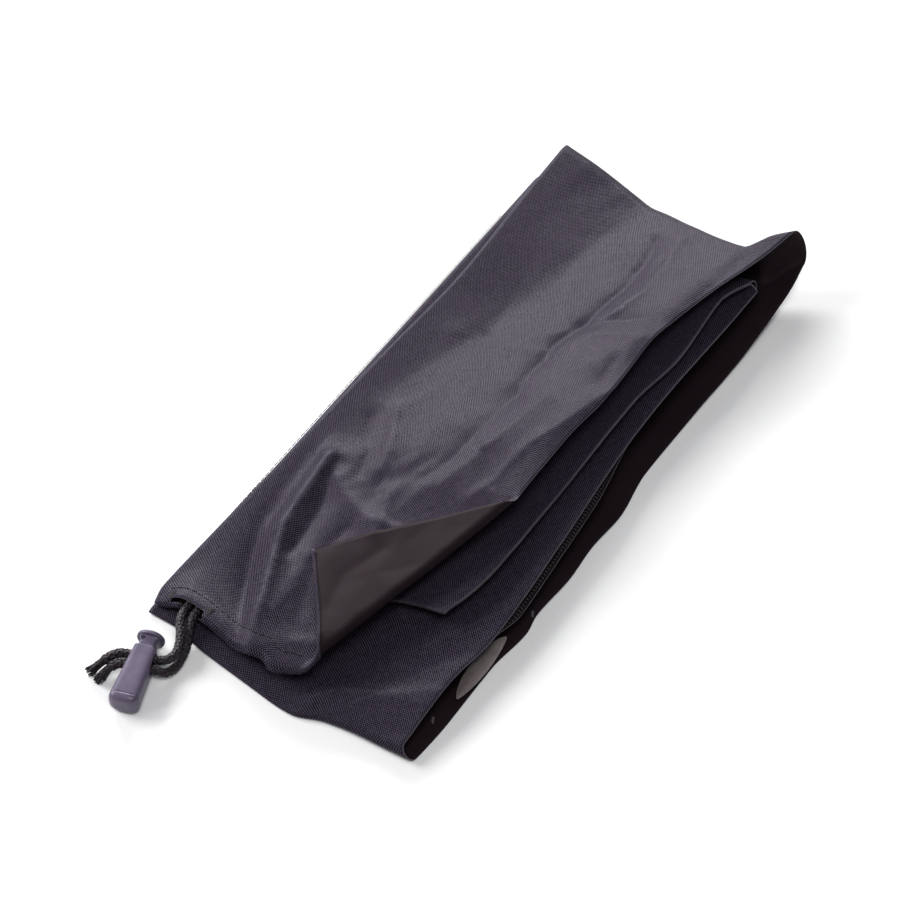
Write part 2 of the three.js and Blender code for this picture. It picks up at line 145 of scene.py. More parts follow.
def route(points, step):
    """A centripetal Catmull-Rom curve through the points, cut into equal steps."""
    p = [np.array(q, float) for q in points]
    p = [2 * p[0] - p[1], *p, 2 * p[-1] - p[-2]]
    fine = []
    for a, b, c, d in zip(p, p[1:], p[2:], p[3:]):
        t1 = norm(b - a) ** 0.5
        t2 = t1 + norm(c - b) ** 0.5
        t3 = t2 + norm(d - c) ** 0.5
        t = np.linspace(t1, t2, ROUTE_STEPS, endpoint=False)[:, None]
        ab, bc, cd = between(a, b, 0, t1, t), between(b, c, t1, t2, t), between(c, d, t2, t3, t)
        abc, bcd = between(ab, bc, 0, t2, t), between(bc, cd, t1, t3, t)
        fine.append(between(abc, bcd, t1, t2, t))
    fine = np.vstack([*fine, p[-2][None]])
    run = running(fine)
    return resample(fine, run, np.linspace(0, run[-1], max(2, round(run[-1] / step) + 1)))


def frames_along(points):
    """Tangent and two sideways directions at each point, with no sudden twist."""
    tangent = np.gradient(points, axis=0)
    tangent /= norm(tangent, axis=1)[:, None]
    side = np.cross(tangent[0], (0, 0, 1))
    if norm(side) < 0.2:
        side = np.cross(tangent[0], (0, 1, 0))
    sides = []
    for t in tangent:
        side = side - t * np.dot(side, t)
        side = side / norm(side)
        sides.append(side)
    sides = np.array(sides)
    return tangent, sides, np.cross(tangent, sides)


def skin_faces(rings, sides):
    """Faces between rings that have the same number of points, and a cap on each end."""
    faces = []
    for i in range(rings - 1):
        for j in range(sides):
            k = (j + 1) % sides
            faces.append((i * sides + j, i * sides + k, (i + 1) * sides + k, (i + 1) * sides + j))
    faces.append(tuple(range(sides))[::-1])
    faces.append(tuple((rings - 1) * sides + j for j in range(sides)))
    return faces


def grid_normals(grid):
    down, across = np.gradient(grid, axis=0), np.gradient(grid, axis=1)
    normal = np.cross(across, down)
    return normal / (norm(normal, axis=2)[..., None] + 1e-9)


class Mesh:
    """Collects vertices, faces and UVs of one piece, in plan millimetres."""

    def __init__(self):
        self.points, self.faces, self.uvs, self.kinds = [], [], [], []
        self.count = 0

    def add(self, points, faces, uv, kinds):
        points = np.asarray(points, float).reshape(-1, 3)
        self.points.append(points)
        self.uvs.append(np.asarray(uv, float).reshape(-1, 2))
        self.faces.extend([tuple(int(v) + self.count for v in face) for face in faces])
        self.kinds.extend(kinds)
        self.count += len(points)

    def tube(self, points, side, up, half_width, half_height, sides):
        """A closed oval tube; its UV runs along it in V and once round it in U."""
        angle = np.arange(sides) * TURN / sides
        ring = (points[:, None] + half_width * np.cos(angle)[None, :, None] * side[:, None]
                + half_height * np.sin(angle)[None, :, None] * up[:, None])
        uv = np.stack(np.broadcast_arrays(angle[None] / TURN, running(points)[:, None]), axis=-1)
        faces = skin_faces(len(points), sides)
        self.add(ring, faces, uv, [0] * len(faces))

    def sheet(self, right, wrong, uv, keep=None, kinds=(0, 0, 0)):
        """A closed sheet over the kept cells of its grid. kinds are the materials of its right side,
        its wrong side and its cut edges."""
        rows, width = right.shape[:2]
        under = rows * width
        keep = np.ones((rows - 1, width - 1), bool) if keep is None else keep
        faces, chosen = [], []
        for i, j in zip(*np.nonzero(keep)):
            a = i * width + j
            b, c, d = a + 1, a + width + 1, a + width
            faces += [(a, b, c, d), (a + under, d + under, c + under, b + under)]
            chosen += kinds[:2]
            for k, m, p, q in ((i - 1, j, a, b), (i, j + 1, b, c), (i + 1, j, c, d), (i, j - 1, d, a)):
                if not (0 <= k < rows - 1 and 0 <= m < width - 1 and keep[k, m]):
                    faces.append((q, p, p + under, q + under))
                    chosen.append(kinds[2])
        self.add(np.concatenate([right, wrong]), faces, np.concatenate([uv, uv]), chosen)

    def build(self, name, materials, cad_node, body="bag"):
        """Makes the piece that stands for a CAD node. With no body it is left free."""
        mesh = bpy.data.meshes.new(name)
        points = row(np.vstack(self.points))
        mesh.from_pydata(points.tolist(), [], self.faces)
        layer = mesh.uv_layers.new(name="run")
        loops = np.zeros(len(mesh.loops), np.int32)
        mesh.loops.foreach_get("vertex_index", loops)
        layer.data.foreach_set("uv", np.vstack(self.uvs)[loops].astype(np.float32).ravel())
        for material in materials:
            mesh.materials.append(material)
        mesh.polygons.foreach_set("material_index", np.array(self.kinds, np.int32))
        mesh.polygons.foreach_set("use_smooth", np.full(len(mesh.polygons), True))
        mesh.update()
        piece = place(name, mesh)
        if body:
            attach(piece, body)
        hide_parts(cad_node)
        return piece


# ---- materials ----


class Nodes:
    """Short calls for one material's node tree."""

    def __init__(self, name, **settings):
        self.material = bpy.data.materials.new(name)
        self.material.use_nodes = True
        self.tree = self.material.node_tree
        self.shader = self.tree.nodes["Principled BSDF"]
        for socket, value in settings.items():
            self.shader.inputs[socket.replace("_", " ")].default_value = value

    def node(self, kind, inputs=None, **settings):
        made = self.tree.nodes.new("ShaderNode" + kind)
        for key, value in settings.items():
            setattr(made, key, value)
        for key, value in (inputs or {}).items():
            self.put(made.inputs[key], value)
        return made

    def put(self, socket, value):
        if isinstance(value, bpy.types.NodeSocket):
            self.tree.links.new(value, socket)
        else:
            socket.default_value = value

    def math(self, operation, a, b=0.0, c=0.0):
        return self.node("Math", {0: a, 1: b, 2: c}, operation=operation).outputs[0]

    def run(self, across, along):
        """The piece's own UV, scaled: a vector, its across part and its along part."""
        uv = self.node("UVMap", uv_map="run").outputs[0]
        scaled = self.node(
            "VectorMath", {0: uv, 1: (across, along, 1.0)}, operation="MULTIPLY").outputs[0]
        split = self.node("SeparateXYZ", {0: scaled})
        return scaled, split.outputs[0], split.outputs[1]

    def noise(self, scale, vector=None, detail=3.0, roughness=0.5):
        if vector is None:
            vector = self.node("TexCoord").outputs["Object"]
        inputs = {"Vector": vector, "Scale": scale, "Detail": detail, "Roughness": roughness}
        return self.node("TexNoise", inputs).outputs[0]

    def range(self, value, low, high, to_low=0.0, to_high=1.0):
        inputs = dict(enumerate((value, low, high, to_low, to_high)))
        return self.node("MapRange", inputs).outputs[0]

    def mix(self, share, a, b):
        made = self.node("Mix", {"Factor": share}, data_type="RGBA")
        for key, colour in (("A_Color", a), ("B_Color", b)):
            socket = next(s for s in made.inputs if s.identifier == key)
            self.put(socket, colour if isinstance(colour, bpy.types.NodeSocket) else (*colour, 1.0))
        return next(s for s in made.outputs if s.identifier == "Result_Color")

    def colour(self, value):
        self.put(self.shader.inputs["Base Color"], value)

    def roughness(self, value):
        self.put(self.shader.inputs["Roughness"], value)

    def object_space(self, rotation, scale):
        """The piece's own space in metres, turned about Z and scaled."""
        place = self.node("TexCoord").outputs["Object"]
        inputs = {"Vector": place, "Rotation": (0, 0, rotation), "Scale": scale}
        return self.node("Mapping", inputs).outputs[0]

    def bump(self, height, distance, strength=1.0):
        inputs = {"Height": height, "Distance": distance, "Strength": strength}
        made = self.node("Bump", inputs)
        self.tree.links.new(made.outputs[0], self.shader.inputs["Normal"])


# Pitches in plan millimetres.
WEAVE = 0.96  # from one warp yarn to the next but one
EDGE_YARN = 0.5
THREAD_TWIST = 0.55
TAPE_PICK, TAPE_RIB = 0.42, 0.62
SLUB_THIN, SLUB_LONG = 4.5, 0.35  # noise features per millimetre across a yarn and along it
EDGE_HIGHLIGHT_BAND = (55.3, 55.8)  # from the cloth's middle: where the painted highlight along its long edges begins and is full
WEAR_AND_EDGE_HIGHLIGHT = (0.10, 0.09, 0.115)  # colour of worn creases, and of the painted highlight along the cloth's long edges


def crossed(n, across, along):
    """High where two sets of yarns both come up: a chequer."""
    return n.math("MULTIPLY", n.math("SINE", across), n.math("SINE", along))


def weave_height(n):
    """A plain weave: yarns come up in a chequer, with slubs that make some of them stand out."""
    _, across, along = n.run(TURN / WEAVE, TURN / WEAVE)
    chequer = crossed(n, across, along)
    warp = n.noise(1.0, n.run(SLUB_LONG, SLUB_THIN)[0], 2.0)
    weft = n.noise(1.0, n.run(SLUB_THIN, SLUB_LONG)[0], 2.0)
    return n.math("MULTIPLY_ADD", n.math("ADD", warp, weft), 0.55, n.math("MULTIPLY", chequer, 0.5))


def cloth_face():
    """The woven, slightly lustrous right side of the cloth."""
    n = Nodes("oxford_cloth", Roughness=0.36, Specular_IOR_Level=0.045,
              Specular_Tint=(0.91, 0.79, 1.0, 1.0), Sheen_Weight=0.03, Sheen_Roughness=0.35,
              Sheen_Tint=(0.86, 0.80, 1.0, 1.0))
    height = weave_height(n)
    lit = n.range(height, 0.5, 0.95)
    # Painted highlight and shade: the crowns of the yarns are painted pale and the gaps between them
    # nearly black, standing in for the sheen on the weave.
    yarn = n.mix(lit, (0.0010, 0.0007, 0.0014), (0.088, 0.072, 0.108))
    worn = n.range(n.noise(28.0, detail=5.0), 0.42, 0.72)
    faded = n.mix(n.math("MULTIPLY", worn, 0.15), yarn, (0.024, 0.019, 0.029))
    crease = n.node("Attribute", attribute_name="crease").outputs["Fac"]
    rubbed = n.mix(n.math("MULTIPLY", crease, 0.2), faded, WEAR_AND_EDGE_HIGHLIGHT)
    # Painted highlight: a pale band along each long edge of the cloth stands in for the light caught by
    # the ply edges. The creases above keep their real wear.
    _, across, _ = n.run(1.0, 1.0)
    from_middle = n.math("ABSOLUTE", n.math("SUBTRACT", across, SHEET_WIDTH / 2))
    edge_highlight = n.range(from_middle, *EDGE_HIGHLIGHT_BAND)
    n.colour(n.mix(n.math("MULTIPLY", edge_highlight, 0.5), rubbed, WEAR_AND_EDGE_HIGHLIGHT))
    n.roughness(n.range(height, 0.3, 0.95, 0.46, 0.28))
    streaks = n.object_space(-0.5, (60.0, 110.0, 60.0))
    ridged = n.math("ABSOLUTE", n.math("SUBTRACT", n.noise(1.0, streaks, 4.0, 0.55), 0.5))
    n.bump(n.math("MULTIPLY_ADD", ridged, -8.0, height), 0.00003, 1.0)
    return n.material


def cloth_back():
    """The wrong side: the coating fills the weave and lies smooth and brownish over it."""
    n = Nodes("cloth_coating", Roughness=0.62, Specular_IOR_Level=0.08,
              Specular_Tint=(1.0, 0.8, 0.9, 1.0))
    height = weave_height(n)
    film = n.range(n.noise(16.0, detail=6.0, roughness=0.6), 0.3, 0.75)
    base = n.mix(film, (0.0075, 0.0044, 0.0060), (0.0125, 0.0078, 0.0100))
    n.colour(n.mix(n.range(height, 0.3, 0.9, 0.0, 0.35), base, (0.022, 0.015, 0.018)))
    n.roughness(n.range(film, 0.0, 1.0, 0.54, 0.66))
    n.bump(height, 0.00005, 0.6)
    return n.material


def cloth_edge():
    """Cut edge of a ply: the ends of the yarns, a little paler where the coating shows."""
    n = Nodes("cloth_cut_edge", Roughness=0.8, Specular_IOR_Level=0.3)
    _, across, along = n.run(TURN / EDGE_YARN, TURN / EDGE_YARN)
    yarns = crossed(n, across, along)
    n.colour(n.mix(n.range(yarns, -0.6, 0.8), (0.05, 0.044, 0.054), (0.19, 0.17, 0.20)))
    n.bump(yarns, 0.00015, 0.8)
    return n.material


def sewing_thread(name, dark, pale):
    """Twisted polyester thread."""
    n = Nodes(name, Roughness=0.55, Sheen_Weight=0.04, Specular_IOR_Level=0.25)
    _, around, along = n.run(2 * TURN, TURN / THREAD_TWIST)
    twist = n.math("SINE", n.math("ADD", around, along))
    n.colour(n.mix(n.range(twist, -0.7, 0.9), dark, pale))
    n.bump(twist, 0.00006, 0.8)
    return n.material


def cord_yarn():
    """Braided carriers: bundles of fine filaments, nearly black with a silky shine and painted
    highlights.
    """
    n = Nodes("cord_yarn", Roughness=0.42, Specular_IOR_Level=0.4,
              Specular_Tint=(1.0, 0.86, 0.95, 1.0))
    strand = n.noise(2.2, n.run(14.0, 1.4)[0], 3.0)
    tone = n.range(n.noise(900.0, detail=2.0), 0.35, 0.7)
    dark = n.mix(tone, (0.0022, 0.0016, 0.0022), (0.007, 0.0054, 0.007))
    # Painted highlight: pale spots along the filament bundles stand in for light glinting on the
    # braid's carriers.
    n.colour(n.mix(n.range(strand, 0.55, 0.75), dark, (0.075, 0.064, 0.078)))
    n.roughness(n.range(strand, 0.3, 0.7, 0.6, 0.34))
    n.bump(strand, 0.00008, 1.0)
    return n.material


def lock_plastic():
    """Moulded acetal: satin, with flow marks, fine scratches and duller places."""
    n = Nodes("lock_plastic", Roughness=0.4, Specular_IOR_Level=0.4)
    cloudy = n.range(n.noise(160.0, detail=4.0), 0.35, 0.7)
    n.colour(n.mix(cloudy, (0.078, 0.061, 0.104), (0.100, 0.080, 0.128)))
    scratch = n.noise(1.0, n.object_space(0.3, (300.0, 3500.0, 2500.0)), 2.0)
    n.roughness(n.range(n.math("ADD", scratch, cloudy), 0.5, 1.6, 0.32, 0.46))
    grain = n.noise(4200.0, detail=2.0)
    n.bump(n.math("MULTIPLY_ADD", scratch, 0.4, grain), 0.00001, 0.5)
    return n.material


def spring_wire():
    """Drawn steel, with fine lines along the wire."""
    n = Nodes("spring_wire", Metallic=1.0, Roughness=0.3)
    _, around, along = n.run(3 * TURN, 0.4)
    drawn = n.noise(3.0, n.node("CombineXYZ", {0: around, 1: along}).outputs[0], 2.0)
    n.colour(n.mix(drawn, (0.42, 0.42, 0.44), (0.66, 0.66, 0.68)))
    n.roughness(n.range(drawn, 0.3, 0.7, 0.22, 0.4))
    n.bump(drawn, 0.00002, 0.5)
    return n.material


def ribbed_tape():
    """Grosgrain tape: fine ribs across it, over a pale woven ground."""
    n = Nodes("ribbed_tape", Roughness=0.55, Sheen_Weight=0.25, Specular_IOR_Level=0.45)
    _, across, along = n.run(TURN / TAPE_PICK, TURN / TAPE_RIB)
    ribs = n.math("SINE", along)
    picks = n.math("MULTIPLY_ADD", n.math("SINE", across), 0.25, ribs)
    shade = n.range(n.noise(220.0, detail=3.0), 0.3, 0.75)
    ground = n.mix(shade, (0.145, 0.112, 0.112), (0.225, 0.182, 0.180))
    n.colour(n.mix(n.range(picks, -1.1, 0.4, 0.55, 0.0), ground, (0.055, 0.045, 0.046)))
    n.bump(picks, 0.00009, 0.8)
    return n.material


CLOTH = [cloth_face(), cloth_back(), cloth_edge()]
THREAD = sewing_thread("thread", (0.004, 0.0035, 0.005), (0.020, 0.017, 0.023))
PALE_THREAD = sewing_thread("overlock_thread", (0.03, 0.026, 0.032), (0.17, 0.16, 0.17))
CORD = cord_yarn()
PLASTIC = lock_plastic()
STEEL = spring_wire()
TAPE = ribbed_tape()

# ---- drawstring ----

CORD_DIAMETER = 3.4
# The drawstring's two ends, from inside the hem through the slit and the lock to the frayed end.
CORD_RIGHT = [[7, -16.4, 5.9], [1.8, -16.9, 5.8], [-2.6, -18.7, 4.5], [-6.6, -20.5, 2.7],
              [-11.4, -21.8, 1.95], [-16.4, -22.5, 2.0], [-20.6, -21.6, 3.0], [-22.6, -18.2, 4.4],
              [-24.14, -13.12, 4.6], [-25.48, -8.82, 4.6], [-27.2, -6.3, 4.5], [-29.4, -4.8, 3.9],
              [-31.8, -4.0, 3.0], [-33.8, -3.7, 2.3], [-35.8, -3.6, 2.0]]
CORD_LEFT = [[7, -12.5, 5.9], [2.6, -12.6, 6.0], [-1.6, -14.1, 6.5], [-5.6, -17.0, 6.3],
             [-9.6, -19.5, 5.8], [-13.4, -20.8, 5.6], [-16.8, -20.0, 5.3], [-19.0, -16.4, 4.6],
             [-20.41, -11.96, 4.6], [-21.75, -7.66, 4.6], [-23.3, -4.6, 4.7], [-25.4, -2.8, 4.6],
             [-28.0, -1.4, 4.0], [-30.6, -0.4, 3.2], [-32.8, 0.6, 2.4], [-34.5, 1.5, 2.0]]
HEM_RUN = [[4.6, -22, 6.7], [2.8, -29, 7.4], [1.8, -37, 7.8], [1.8, -46, 8.2]]

CARRIERS = 6  # yarn bundles that wind each way round the braid
BRAID_LEAD = 9.0  # length of one whole turn of a carrier
FLOATS = 3  # times that a carrier goes over and under in one turn
STRAND = (0.62, 0.44)  # half width and half thickness of a carrier
WAVE = 0.30  # how far a carrier moves in and out as it goes over and under
CORE_RADIUS = 0.85
FRAY = 6.5  # length of the cord's end where its carriers have come apart
TUFT_YARNS = 96
TUFT_RADIUS = 1.75
YARN_RADIUS = (0.13, 0.24)  # thinnest and thickest yarn of the tuft
CORD_STEP, HEM_RUN_STEP = 0.3, 0.4
LOOSEN = 0.2  # how much the braid swells towards its frayed end


def braid(mesh, centre, loosen=0.0):
    """Carriers wound both ways round the centre line, passing over and under each other."""
    _, side, up = frames_along(centre)
    run = running(centre)
    swell = 1 + loosen * smoothstep(run, run[-1] - 12, run[-1] - 4)
    mesh.tube(centre, side, up, CORE_RADIUS, CORE_RADIUS, 10)
    middle = CORD_DIAMETER / 2 - STRAND[1] - WAVE
    over = np.clip(1.4 * np.sin(TURN * FLOATS * run / BRAID_LEAD), -1, 1)
    for way in (1, -1):
        for k in range(CARRIERS):
            angle = TURN * (k / CARRIERS + way * run / BRAID_LEAD)
            out = np.cos(angle)[:, None] * side + np.sin(angle)[:, None] * up
            line = centre + out * ((middle + WAVE * way * over) * swell)[:, None]
            forward = np.gradient(line, axis=0)
            forward /= norm(forward, axis=1)[:, None]
            across = np.cross(forward, out)
            across /= norm(across, axis=1)[:, None]
            mesh.tube(line, across, np.cross(across, forward), *STRAND, 8)


def tuft(mesh, centre, seed):
    """The frayed end: yarns that leave the braid, part a little and keep the braid's kinks."""
    rng = np.random.default_rng(seed)
    run, cord_axes = running(centre), (centre, *frames_along(centre))
    for _ in range(TUFT_YARNS):
        angle, radius = rng.uniform(0, TURN), TUFT_RADIUS * math.sqrt(rng.uniform(0, 1))
        s = np.linspace(-FRAY - 2.5, rng.uniform(-2.6, 0.6), 16)
        at = np.clip(s + run[-1], 0, run[-1])
        middle, tangent, side, up = (resample(values, run, at) for values in cord_axes)
        kink = 0.14 * np.sin(s * TURN / rng.uniform(1.8, 2.6) + rng.uniform(0, 6))
        beyond = np.clip((s + FRAY) / FRAY, 0, None) ** 1.5
        spread = radius * (0.8 + 0.35 * beyond * rng.uniform(-0.6, 1.6))
        turn = angle + rng.normal(0, 0.25) * beyond
        line = (middle + tangent * np.maximum(s, 0)[:, None]
                + side * (np.cos(turn) * spread + kink)[:, None]
                + up * (np.sin(turn) * spread + kink)[:, None])
        line[:, 2] = np.maximum(line[:, 2] - 0.35 * beyond, 0.2)
        size = rng.uniform(*YARN_RADIUS)
        mesh.tube(line, *frames_along(line)[1:], size, size * 0.8, 5)


def make_cord(name, points, seed, cad_node):
    centre = route(points, CORD_STEP)
    mesh = Mesh()
    braid(mesh, centre[:-round(FRAY / CORD_STEP)], LOOSEN)
    tuft(mesh, centre, seed)
    cord = mesh.build(name, [CORD], cad_node)
    float(running(centre)[-1]) * MM


make_cord("drawstring_left", CORD_LEFT, 11, "drawstring_end_left")
make_cord("drawstring_right", CORD_RIGHT, 12, "drawstring_end_right")

hem_run = Mesh()
braid(hem_run, route(HEM_RUN, HEM_RUN_STEP))
hem_run.build("drawstring_hem_run", [CORD], "drawstring_in_hem")

# ---- cloth: driving dimensions ----

CLOTH_THICK = 0.36
PITCH = 0.85  # from ply to ply where the plies are pressed together
FLOOR_Z = 0.25  # middle of the lowest ply
BOTTOM_WIDTH = 114.0  # typical width of the bottom leaf
GRID = 1.56  # spacing of the cloth's grid lines

# Long open edges of the four leaves, from the lowest up: [x, y, z].
BOTTOM_EDGE = [[x, y, FLOOR_Z] for x, y in (
    (-10, -112), (17, -113.5), (44, -113.2), (64, -115.2), (73, -113.9), (92, -115), (109, -114),
    (125, -115), (150, -112))]
BOTTOM_EDGE += [[184, -112.5, 0.6], [219, -113.5, 2], [244, -113.5, 5], [270, -111, 9]]
LOWER_EDGE = [[-10, -108, 7.5], [26, -108, 8.5], [50, -110.5, 9.5], [101, -108, 11], [157, -104, 12],
              [203, -105, 13], [241, -106, 13]]
UPPER_EDGE = [[28, -90, 13], [47, -92, 13.5], [65, -96, 14], [109, -97, 14], [164, -97, 15],
              [191, -100, 15], [224, -98, 15.3], [241, -104, 15.6]]
TOP_EDGE = [[-5, -113, 15.8], [28, -111, 18], [60, -102.5, 20.8], [85, -94.5, 22.2], [102, -89, 23],
            [129, -89, 24], [155, -91, 24], [185, -90, 24], [214, -94, 24], [247, -103, 24.5],
            [270, -107, 24.5]]
TOP_PRESSED_EDGE = [[0, -1], [9, 1], [53, 0], [99, -1], [140, -2], [187, -4], [237, -1.5], [273, 0]]
# The top leaf lies nearly flat beside its pressed edge and climbs from a crease beyond it:
# [x, distance of the crease from the pressed edge, share of the climb done there].
RIDGE = [[-10, 30, 0.2], [10, 26, 0.2], [32, 20, 0.16], [50, 15, 0.10], [70, 11, 0.05], [90, 9, 0.03],
         [110, 9, 0.02], [129, 12, 0.01], [150, 18, 0.0], [184, 27, 0.0], [215, 34, 0.01],
         [243, 41, 0.02], [272, 48, 0.03]]
RIDGE_ROUND = 4.5  # half width of the crease's rounding

# Folds and cut ends across the bag: [share of the width from the pressed edge, x].
FAR_FOLD = [[0, 273], [0.2, 268.5], [0.34, 264], [0.43, 261], [0.5, 260], [0.62, 257], [0.8, 253.5],
            [0.9, 252.5], [0.95, 262], [1, 268]]
NEAR_FOLD = [[0, -1.5], [0.1, -1.5], [0.19, -4], [0.43, -8], [0.6, -10], [0.7, -6.5], [1, -4]]
INNER_FOLD = [[0, 252], [0.12, 245], [0.3, 240], [0.5, 238], [1, 241]]
FAR_BULGE, NEAR_BULGE, INNER_BULGE = 5, 3, 2.4
OUTER_SHORT = 3  # how far short of the inner fold line the outer panel's leaves end
FAR_ROWS, NEAR_ROWS, INNER_ROWS, PRESSED_ROWS = 13, 9, 7, 3  # grid lines round each fold
TOP_LENGTH, BOTTOM_LENGTH, LOWER_LENGTH, UPPER_LENGTH, INNER_LENGTH = 270, 265, 240, 205, 212
MOUTH = [[0, -0.5], [0.1, 3], [0.18, 2], [0.27, 0], [0.36, -2], [0.42, -0.8], [0.47, -3],
         [0.51, -1.6], [0.55, -0.6], [0.62, 5], [1, 23]]
CLOSED_END = [[0, 31], [0.65, 33], [0.78, 44], [0.85, 46], [1, 47]]
INNER_MOUTH = [[0, 24], [1, 27]]

DOG_EAR_FROM, DOG_EAR_TO = np.array([8.0, -64.0]), np.array([102.0, -89.0])
DOG_EAR_ROLL = 2.2

HEM_WIDTH, HEM_NOSE, HEM_RISE = 9, 2.4, 3.4
HEM_HEIGHT = [[0, 1.3], [0.05, 4.3], [0.1, 4.9], [0.48, 4.9], [0.6, 1.3], [1, 1.3]]
SLIT_SHARES = (0.062, 0.185)  # the slit in the hem, as shares of the width
CREASE_ROUND = 0.4  # how far a sharp crease's tip is rounded
SWELL_WAVES = 7
DROOP = 2.2  # how far the lower leaf sinks next to the near fold
TOP_ROLL = 1.3  # how far the top leaf's open edge rolls under

# Sharp creases of the leaves: [height, reach to each side, x, y, x, y, ...]; a valley is below 0.
TOP_CREASES = [
    [4.2, 4, 88, -15, 70, -17, 52, -20, 36, -27, 22, -33, 9, -38, -3, -43],
    [-3.4, 5, 86, -6, 65, -8, 50, -11, 32, -19, 16, -28, -2, -37],
    [-2.0, 3, 86, -19, 67, -26, 54, -28, 44, -29],
    [1.4, 3, 87, -16, 75, -31, 68, -45, 69, -57],
    [0.8, 2, 96, -10, 78, -17, 66, -19],
    [-1.1, 2.2, 242, -60, 228, -63, 211, -64, 199, -62, 187, -61],
    [0.9, 4, 245, -68, 228, -72, 211, -72, 196, -68],
    [-1.0, 2.4, 186, -60, 174, -57, 163, -58, 154, -57, 144, -60],
    [0.5, 3, 183, -64, 186, -76, 188, -90],
    [-0.8, 4, 184, -62, 192, -68, 198, -84],
    [0.25, 2.5, 185, -60, 176, -50, 170, -42],
    [-1.0, 5, 242, -96, 227, -94, 211, -93, 200, -92],
    [-1.3, 3.5, 172, -83, 160, -85],
    [-0.9, 1.6, 112, -66, 99, -77],
    [1.0, 4, 157, -90, 136, -84, 123, -79, 100, -76, 92, -73],
    [-1.2, 5, 140, -59, 123, -58, 107, -57, 93, -53],
    [1.0, 6, 146, -70, 128, -68, 108, -64, 92, -60],
    [0.9, 3, 122, -22, 104, -31, 90, -36],
    [-0.9, 3, 112, -16, 97, -26, 86, -30],
    [-0.8, 3, 168, -30, 153, -38, 134, -51],
    [-0.9, 2, 88, -38, 75, -47, 70, -55],
    [0.8, 2, 84, -42, 72, -50, 62, -52],
    [0.9, 3, 46, -35, 30, -39, 18, -40],
    [-1.1, 3, 60, -40, 44, -40, 30, -45, 18, -50, 8, -60],
    [0.9, 2.5, 2, -44, 10, -54, 14, -62],
    [-0.8, 4, 56, -60, 40, -54, 26, -58],
    [0.8, 3, 8, -12, 3, -24, 0, -36],
    [-0.9, 2.5, 13, -12, 9, -24, 5, -34],
]
LOWER_CREASES = [
    [0.9, 4, -12, -67, -2, -69, 5, -76, 10, -88, 15, -104],
    [-0.7, 3.5, -9, -80, -3, -92, 2, -106],
    [0.6, 3.5, 22, -107, 12, -92, 4, -84],
    [-0.5, 3, 40, -106, 24, -92, 14, -80],
    [0.5, 4, 66, -108, 50, -100, 38, -92],
]
UPPER_CREASES = [
    [-0.6, 3.5, 52, -60, 58, -76, 56, -92],
    [0.5, 3, 70, -70, 74, -84, 80, -96],
    [-0.4, 3, 120, -80, 140, -88, 165, -92],
    [0.4, 3, 190, -78, 205, -88, 222, -96],
]


def pressed(n):
    return FLOOR_Z + n * PITCH


# ---- cloth: surfaces ----


def crease_profile(distance, reach):
    """1 on a crease's line, falling away on both sides of it."""
    return np.exp(-(np.sqrt(distance ** 2 + CREASE_ROUND ** 2) - CREASE_ROUND) / reach)


def crease_field(x, y, creases):
    """Height of the sharp creases at x, y: each falls away on both sides of its line."""
    field = np.zeros(np.shape(x))
    for height, reach, *line in creases:
        nearest = np.full(np.shape(x), np.inf)
        for ax, ay, bx, by in zip(line[::2], line[1::2], line[2::2], line[3::2]):
            dx, dy = bx - ax, by - ay
            s = np.clip(((x - ax) * dx + (y - ay) * dy) / (dx * dx + dy * dy), 0, 1)
            nearest = np.minimum(nearest, np.hypot(x - ax - s * dx, y - ay - s * dy))
        field += height * crease_profile(nearest, reach)
    return field


def crumple(x, y, seed, count, steepness, area=((-10, 275), (-115, 0))):
    """Many short creases at random places, from being stuffed away."""
    rng = np.random.default_rng(seed)
    field = np.zeros(np.shape(x))
    for _ in range(count):
        cx, cy = rng.uniform(*area[0]), rng.uniform(*area[1])
        angle = rng.normal(0, 0.75)
        half = rng.uniform(5, 22)
        reach = rng.uniform(1.0, 5.0)
        height = steepness * reach * rng.choice([-1, 1]) * rng.uniform(0.35, 1)
        ca, sa = math.cos(angle), math.sin(angle)
        down = (x - cx) * ca + (y - cy) * sa
        off = (y - cy) * ca - (x - cx) * sa
        field += height * np.exp(-(down / half) ** 4) * crease_profile(off, reach)
    return field


def swells(x, y, seed, length, height):
    """Slow rises and dips of the cloth."""
    rng = np.random.default_rng(seed)
    field = np.zeros(np.shape(x))
    for _ in range(SWELL_WAVES):
        angle, wave = rng.uniform(0, math.pi), length * rng.uniform(0.7, 1.6)
        across = x * math.cos(angle) + y * math.sin(angle)
        field += np.sin(TURN / wave * across + rng.uniform(0, 6.28))
    return field * height / math.sqrt(SWELL_WAVES)


def leaf(edge, pressed_z, curl, relief):
    """One leaf of the folded cloth as a function of x and the share t of its width. It is pressed flat
    at t = 0 and rises to its open edge at t = 1, more steeply the larger curl is."""
    def surface(x, t):
        y = fair(edge, x) * t
        z = lerp(pressed_z, fair(edge, x, 2), np.clip(t, 0, 1.1) ** curl)
        return np.stack([x, y, z + relief(x, y, t)], axis=-1)
    return surface


def bottom_relief(x, y, t):
    return 0.5 * smoothstep(t, 0.6, 1.0) * np.abs(swells(x, y, 31, 45, 1.0))


def lower_relief(x, y, t):
    loose = smoothstep(t, 0.15, 0.7)
    small = crumple(x, y, 41, 110, 0.06)
    droop = DROOP * np.exp(-np.clip(x + 8, 0, None) / 11)
    return loose * (crease_field(x, y, LOWER_CREASES) + small + swells(x, y, 42, 50, 0.35) - droop)


def upper_relief(x, y, t):
    loose = smoothstep(t, 0.25, 0.9)
    small = crumple(x, y, 51, 90, 0.05)
    return loose * (crease_field(x, y, UPPER_CREASES) + small + swells(x, y, 52, 55, 0.3))


